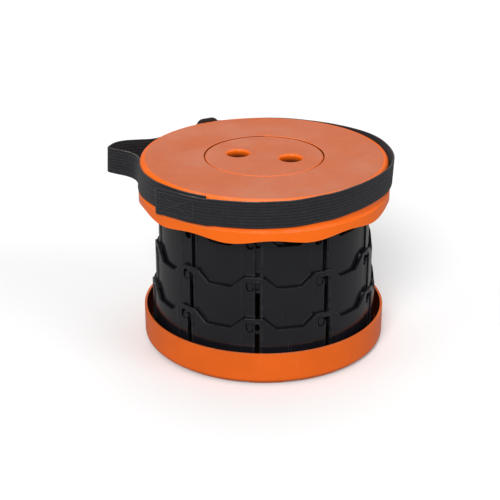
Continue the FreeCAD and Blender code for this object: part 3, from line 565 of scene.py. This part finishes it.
def smooth_through(points, step):
    """Catmull-Rom curve through the points, sampled about every `step`."""
    padded = [points[0] * 2 - points[1], *points, points[-1] * 2 - points[-2]]
    samples = []
    for a, b, c, d in zip(padded, padded[1:], padded[2:], padded[3:]):
        count = max(2, round((c - b).length / step))
        for i in range(count):
            t = i / count
            bend = 2 * a - 5 * b + 4 * c - d
            twist = 3 * b - a - 3 * c + d
            samples.append(0.5 * (2 * b + (c - a) * t + bend * t**2 + twist * t**3))
    return [*samples, points[-1]]


def eased(table, angle):
    """Value between the two nearest rows of (angle, value), with an eased blend."""
    for (a, low), (b, high) in zip(table, table[1:]):
        if angle <= b:
            t = max(0.0, (angle - a) / (b - a))
            return low + (high - low) * (t * t * (3 - 2 * t))
    return table[-1][1]


# %% [markdown]
# ### How the strap lies on the rim
# A strap that has been used isn't a perfect hoop. It lies tight at the left, and at the right it has
# slipped up and stands off the rim. Short tables say how high it sits and how far it bulges at a few
# angles, and a small ripple breaks up the rest.

# %% Rim lie
SLIDER_RISE = 0.0010
RISE_AT = [
    (-54, -0.0030), (-47, -0.0006), (-41, 0.0003), (-26, 0.0009), (-10, 0.0017), (10, 0.0027),
    (27, 0.0045), (43, 0.0063), (60, 0.0068), (105, 0.0050), (160, 0.0016), (196, SLIDER_RISE),
]
BULGE_AT = [
    (-54, 0.0008), (-45, 0.0003), (-26, 0.0), (20, 0.0), (48, 0.0010),
    (75, 0.0030), (105, 0.0024), (145, 0.0005), (196, 0.0),
]
RETURN_RISE_AT = [(-90, -0.0018), (-75, -0.0006), (-60, 0.0012), (-45, 0.0024), (-26, 0.0030)]
RIPPLE = 0.00018
ROUTE_STEP = 0.002


def rim_radius_at(angle):
    """Radius of the webbing's middle on its first way round, with the step down where the layers part."""
    lifted = STRAP_THICKNESS + LAY_GAP
    step_down = eased([(LAYERS_MEET, lifted), (LAYERS_MEET + 4, 0.0)], angle)
    ripple = RIPPLE * (1 + math.sin(math.radians(angle) * 9) * math.cos(math.radians(angle) * 4))
    return ON_RIM + step_down + eased(BULGE_AT, angle) + ripple


slider_half = SLIDER_WIDTH / 2
over_bar = SLIDER_INNER + SLIDER_THICKNESS + LAY_GAP + STRAP_THICKNESS / 2
under_bar = SLIDER_INNER - LAY_GAP - STRAP_THICKNESS / 2
slot_out = slider_half - SLIDER_SIDE_BAR - 0.0012
bar_edge = SLIDER_MIDDLE_BAR / 2 + 0.0014
rim_stops = SLIDER_AT + 360 - math.degrees((slider_half + 0.003) / ON_RIM)

rim_angles = [OUTER_END + i * (rim_stops - OUTER_END) / 396 for i in range(397)]
first_way = [rim_point(angle, rim_radius_at(angle)) for angle in rim_angles]
through_slider = [
    slider_point(-slider_half, under_bar),
    slider_point(-slot_out, under_bar + 0.0004),
    slider_point(-bar_edge, over_bar),
    slider_point(bar_edge, over_bar),
    slider_point(slot_out, under_bar + 0.0004),
    slider_point(slider_half, under_bar),
]
hand_loop = [
    Vector((-0.0830, 0.1040, -0.0046)),
    Vector((-0.1000, 0.0985, -0.0085)),
    Vector((-0.1170, 0.0915, -0.0108)),
    Vector((-0.1330, 0.0825, -0.0089)),
    Vector((-0.1460, 0.0715, -0.0060)),
    Vector((-0.1555, 0.0590, -0.0038)),
    Vector((-0.1610, 0.0460, -0.0032)),
    Vector((-0.1612, 0.0375, -0.0021)),
    Vector((-0.1550, 0.0315, -0.0016)),
    Vector((-0.1460, 0.0275, -0.0020)),
    Vector((-0.1370, 0.0220, -0.0023)),
    Vector((-0.1300, 0.0130, -0.0024)),
]
return_angles = [LOOP_REJOINS + i for i in range(round(LAYERS_MEET - LOOP_REJOINS) + 1)]
back_on_rim = [Vector((*rim_point(angle, ON_RIM), eased(RETURN_RISE_AT, angle))) for angle in return_angles]
into_slider = [Vector((*point, SLIDER_RISE)) for point in (first_way[-1], *through_slider)]
free_part = smooth_through([*into_slider, *hand_loop, *back_on_rim], ROUTE_STEP)[1:]
route = [*first_way, *(point.to_2d() for point in free_part)]
lengths = [0.0]
for before, after in zip(route, route[1:]):
    lengths.append(lengths[-1] + (after - before).length)
print(f"webbing length: {lengths[-1] * 1000:.0f} mm")

# %% [markdown]
# ### Height along the route
# The strap's lower edge follows the table on its first way round. From the slider on, each point of the
# route carries its own rise: the hand loop hangs lower and leans, and comes back up under the outer layer.

# %% Heights and leans
LOOP_LEAN = math.radians(5)
RIM_LEAN_AT = [(-60, 0.0), (20, 0.0), (70, 0.05), (120, 0.03), (160, 0.0), (196, 0.0)]

heights = [STRAP_LOW + eased(RISE_AT, angle) for angle in rim_angles]
heights += [STRAP_LOW + point.z for point in free_part]
leans = [eased(RIM_LEAN_AT, angle) for angle in rim_angles]
free_count = len(free_part) - len(return_angles)
for i in range(len(free_part)):
    share = min(1.0, i / free_count)
    leans.append(LOOP_LEAN * math.sin(math.pi * share) * math.cos(1.5 * math.pi * share))

# %% [markdown]
# ### The webbing's body
# A flat ribbon with a woven picture on it would look like paper at its edges. Here the webbing's cross
# section is a closed outline: a shallow scallop for every woven row on both faces, and rounded
# selvedges. The outline is swept along the route, and each point gets its place on the strap map.

# %% Sweep the webbing
SCALLOP = 0.00014
POINTS_PER_ROW = 4
SELVEDGE_POINTS = 4


def webbing_outline():
    """Closed outline of the webbing as (up, out) pairs, from the outer face round to the inner face."""
    half_height = STRAP_WIDTH / 2 - STRAP_THICKNESS / 2
    half_thick = STRAP_THICKNESS / 2
    face_points = round(STRAP_WIDTH / ROW_PITCH * POINTS_PER_ROW)
    outer = []
    for i in range(face_points + 1):
        up = -half_height + 2 * half_height * i / face_points
        across = ((up + STRAP_WIDTH / 2) / ROW_PITCH) % 1.0
        outer.append((up, half_thick - SCALLOP * (1 - math.sin(math.pi * across))))
    turns = [math.pi * k / SELVEDGE_POINTS for k in range(1, SELVEDGE_POINTS)]
    top = [(half_height + half_thick * math.sin(turn), half_thick * math.cos(turn)) for turn in turns]
    inner = [(up, -out) for up, out in reversed(outer)]
    bottom = [(-up, -out) for up, out in top]
    return [*outer, *top, *inner, *bottom]


def frame_at(i):
    """Outward and upward directions of the strap at one point of the route."""
    tangent = (route[min(i + 1, len(route) - 1)] - route[max(i - 1, 0)]).normalized()
    outward = Vector((tangent.y, -tangent.x, 0.0))
    lean = leans[i]
    up = Vector((outward.x * math.sin(lean), outward.y * math.sin(lean), math.cos(lean)))
    out = Vector((outward.x * math.cos(lean), outward.y * math.cos(lean), -math.sin(lean)))
    return out, up


def strap_point(i, up_from_middle, out_from_middle):
    out, up = frame_at(i)
    middle = Vector((route[i].x, route[i].y, heights[i] + STRAP_WIDTH / 2))
    return middle + up * up_from_middle + out * out_from_middle


def sweep_webbing(name):
    outline = webbing_outline()
    count = len(outline)
    bm = bmesh.new()
    strap_map = bm.loops.layers.uv.new(STRAP_MAP)
    rings = [[bm.verts.new(strap_point(i, up, out)) for up, out in outline] for i in range(len(route))]
    for i, (first, second) in enumerate(zip(rings, rings[1:])):
        for k in range(count):
            m = (k + 1) % count
            face = bm.faces.new((first[k], second[k], second[m], first[m]))
            face.smooth = True
            corners = ((i, k), (i + 1, k), (i + 1, m), (i, m))
            for loop, (at, point) in zip(face.loops, corners):
                loop[strap_map].uv = (lengths[at], outline[point][0] + STRAP_WIDTH / 2)
    for end in (rings[0][::-1], rings[-1]):
        bm.faces.new(end)
    bmesh.ops.recalc_face_normals(bm, faces=bm.faces)
    mesh = bpy.data.meshes.new(name)
    bm.to_mesh(mesh)
    bm.free()
    mesh.materials.append(webbing)
    piece = bpy.data.objects.new(name, mesh)
    bpy.context.scene.collection.objects.link(piece)
    print(f"{name}: {len(mesh.vertices)} points")
    return piece


strap = sweep_webbing("webbing_strap")
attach(strap, "seat")
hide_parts("carry_strap")

# %% [markdown]
# ## Stitches of the sewn overlap
# The two layers are joined by a box with a cross in it. Each stitch is real geometry: a short arc of
# thread that rises out of one needle hole and dives into the next. All stitches are splines of one
# curve with a round bevel, which keeps hundreds of stitches light and easy to change.

# %% Sew the box and its cross
STITCH = 0.0030
STITCH_GAP = 0.0007
THREAD_RADIUS = 0.00033
THREAD_LIFT = 0.00022
BOX_FROM = -50.5
BOX_TO = -31.5
END_ROW = -52.6
BOX_INSET = 0.0036


def point_on_layer(angle, up, lift):
    """A point on the outer layer's face: angle round the rim, height from the strap's middle, and lift."""
    radius = rim_radius_at(angle) + STRAP_THICKNESS / 2 + lift
    flat = rim_point(angle, radius)
    return Vector((flat.x, flat.y, STRAP_LOW + eased(RISE_AT, angle) + STRAP_WIDTH / 2 + up))


def sew_line(curve, start, end):
    """A straight row of stitches between two (angle, up) places."""
    run = (point_on_layer(*end, 0) - point_on_layer(*start, 0)).length
    count = max(1, round(run / (STITCH + STITCH_GAP)))
    filled = STITCH / (STITCH + STITCH_GAP)
    for i in range(count):
        spline = curve.splines.new("NURBS")
        shares = [(i + filled * k / 4) / count for k in range(5)]
        lifts = [-THREAD_RADIUS * 2, THREAD_LIFT, THREAD_LIFT * 1.4, THREAD_LIFT, -THREAD_RADIUS * 2]
        spline.points.add(len(shares) - 1)
        for point, share, lift in zip(spline.points, shares, lifts):
            angle = start[0] + (end[0] - start[0]) * share
            up = start[1] + (end[1] - start[1]) * share
            point.co = (*point_on_layer(angle, up, lift), 1.0)
        spline.use_endpoint_u = True
        spline.order_u = 3


box_half = STRAP_WIDTH / 2 - BOX_INSET
stitch_curve = bpy.data.curves.new("overlap_stitches", "CURVE")
stitch_curve.dimensions = "3D"
stitch_curve.bevel_depth = THREAD_RADIUS
stitch_curve.bevel_resolution = 2
stitch_curve.resolution_u = 4
stitch_curve.use_fill_caps = True
low_left, low_right = (BOX_FROM, -box_half), (BOX_TO, -box_half)
high_left, high_right = (BOX_FROM, box_half), (BOX_TO, box_half)
for start, end in (
    (low_left, low_right),
    (high_left, high_right),
    (low_left, high_left),
    (low_right, high_right),
    (low_left, high_right),
    (high_left, low_right),
    ((END_ROW, -box_half), (END_ROW, box_half)),
):
    sew_line(stitch_curve, start, end)
stitch_curve.materials.append(thread)
stitches = bpy.data.objects.new("overlap_stitches", stitch_curve)
bpy.context.scene.collection.objects.link(stitches)
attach(stitches, "seat")
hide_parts("strap_stitching")
print("stitches:", len(stitch_curve.splines))

# %% [markdown]
# ## Floor, light and camera
# A plain pale floor and big soft lights suit a product view: broad sources leave broad, soft bands on
# glossy plastic. The lights are wide suns, so their place doesn't matter, only their direction: one in
# front, a little above, one each from the right and the left, and one from behind and above. The floor
# and the world look brighter to the camera than the light they give, which keeps the stool's own
# shading strong on a white ground.


# %% Floor
FLOOR_HALF = 60.0
FLOOR_SEEN = (0.94, 0.94, 0.94)
FLOOR_BOUNCE = (0.30, 0.30, 0.30)
floor_mesh = bpy.data.meshes.new("floor")
signs = [(-1, -1), (1, -1), (1, 1), (-1, 1)]
corners = [(x * FLOOR_HALF, y * FLOOR_HALF, 0) for x, y in signs]
floor_mesh.from_pydata(corners, [], [(0, 1, 2, 3)])
floor = bpy.data.objects.new("floor", floor_mesh)
bpy.context.scene.collection.objects.link(floor)
floor_paint, tree, shader = start_material("floor_paint", Roughness=0.95, Specular_IOR_Level=0.0)
seen = put(tree, "ShaderNodeLightPath").outputs["Is Camera Ray"]
tree.links.new(mix_colours(tree, seen, FLOOR_BOUNCE, FLOOR_SEEN), shader["Base Color"])
floor_mesh.materials.append(floor_paint)

# %% Lights
WORLD_LIGHT = 0.2
WORLD_EXTRA = 0.8
world = bpy.data.worlds.new("studio")
world.use_nodes = True
world.node_tree.nodes["Background"].inputs["Color"].default_value = (1.0, 1.0, 1.0, 1.0)
world_seen = put(world.node_tree, "ShaderNodeLightPath").outputs["Is Camera Ray"]
world_strength = math_node(world.node_tree, "MULTIPLY_ADD", world_seen, WORLD_EXTRA, WORLD_LIGHT)
world.node_tree.links.new(world_strength, world.node_tree.nodes["Background"].inputs["Strength"])
bpy.context.scene.world = world


def soft_sun(name, around, up, strength, width):
    """A very wide sun: around is its compass angle from the front, up is its height above the horizon."""
    light = bpy.data.lights.new(name, "SUN")
    light.energy = strength
    light.angle = math.radians(width)
    lamp = bpy.data.objects.new(name, light)
    a, e = math.radians(around), math.radians(up)
    towards = Vector((math.sin(a) * math.cos(e), -math.cos(a) * math.cos(e), math.sin(e)))
    lamp.rotation_euler = towards.to_track_quat("Z", "Y").to_euler()
    bpy.context.scene.collection.objects.link(lamp)


for name, around, up, strength, width in (
    ("front_softbox", -14.0, 36.0, 2.35, 30.0),
    ("right_softbox", 62.0, 24.0, 1.05, 40.0),
    ("left_softbox", -72.0, 24.0, 0.55, 40.0),
    ("top_softbox", 170.0, 72.0, 1.0, 55.0),
):
    soft_sun(name, around, up, strength, width)
print("lights:", len(bpy.data.lights))

# %% Camera
CAMERA_TARGET = Vector((-0.0142, 0.0, 0.0902))
CAMERA_DISTANCE = 1.3406
CAMERA_PITCH = math.radians(23.76)
camera_data = bpy.data.cameras.new("product_camera")
camera_data.sensor_width = 36.0
camera_data.lens = 92.88
camera = bpy.data.objects.new("product_camera", camera_data)
towards_camera = Vector((0.0, -math.cos(CAMERA_PITCH), math.sin(CAMERA_PITCH)))
camera.location = CAMERA_TARGET + CAMERA_DISTANCE * towards_camera
camera.rotation_euler = (math.radians(90) - CAMERA_PITCH, 0.0, 0.0)
bpy.context.scene.collection.objects.link(camera)
bpy.context.scene.camera = camera
bpy.context.scene.view_settings.view_transform = "Standard"
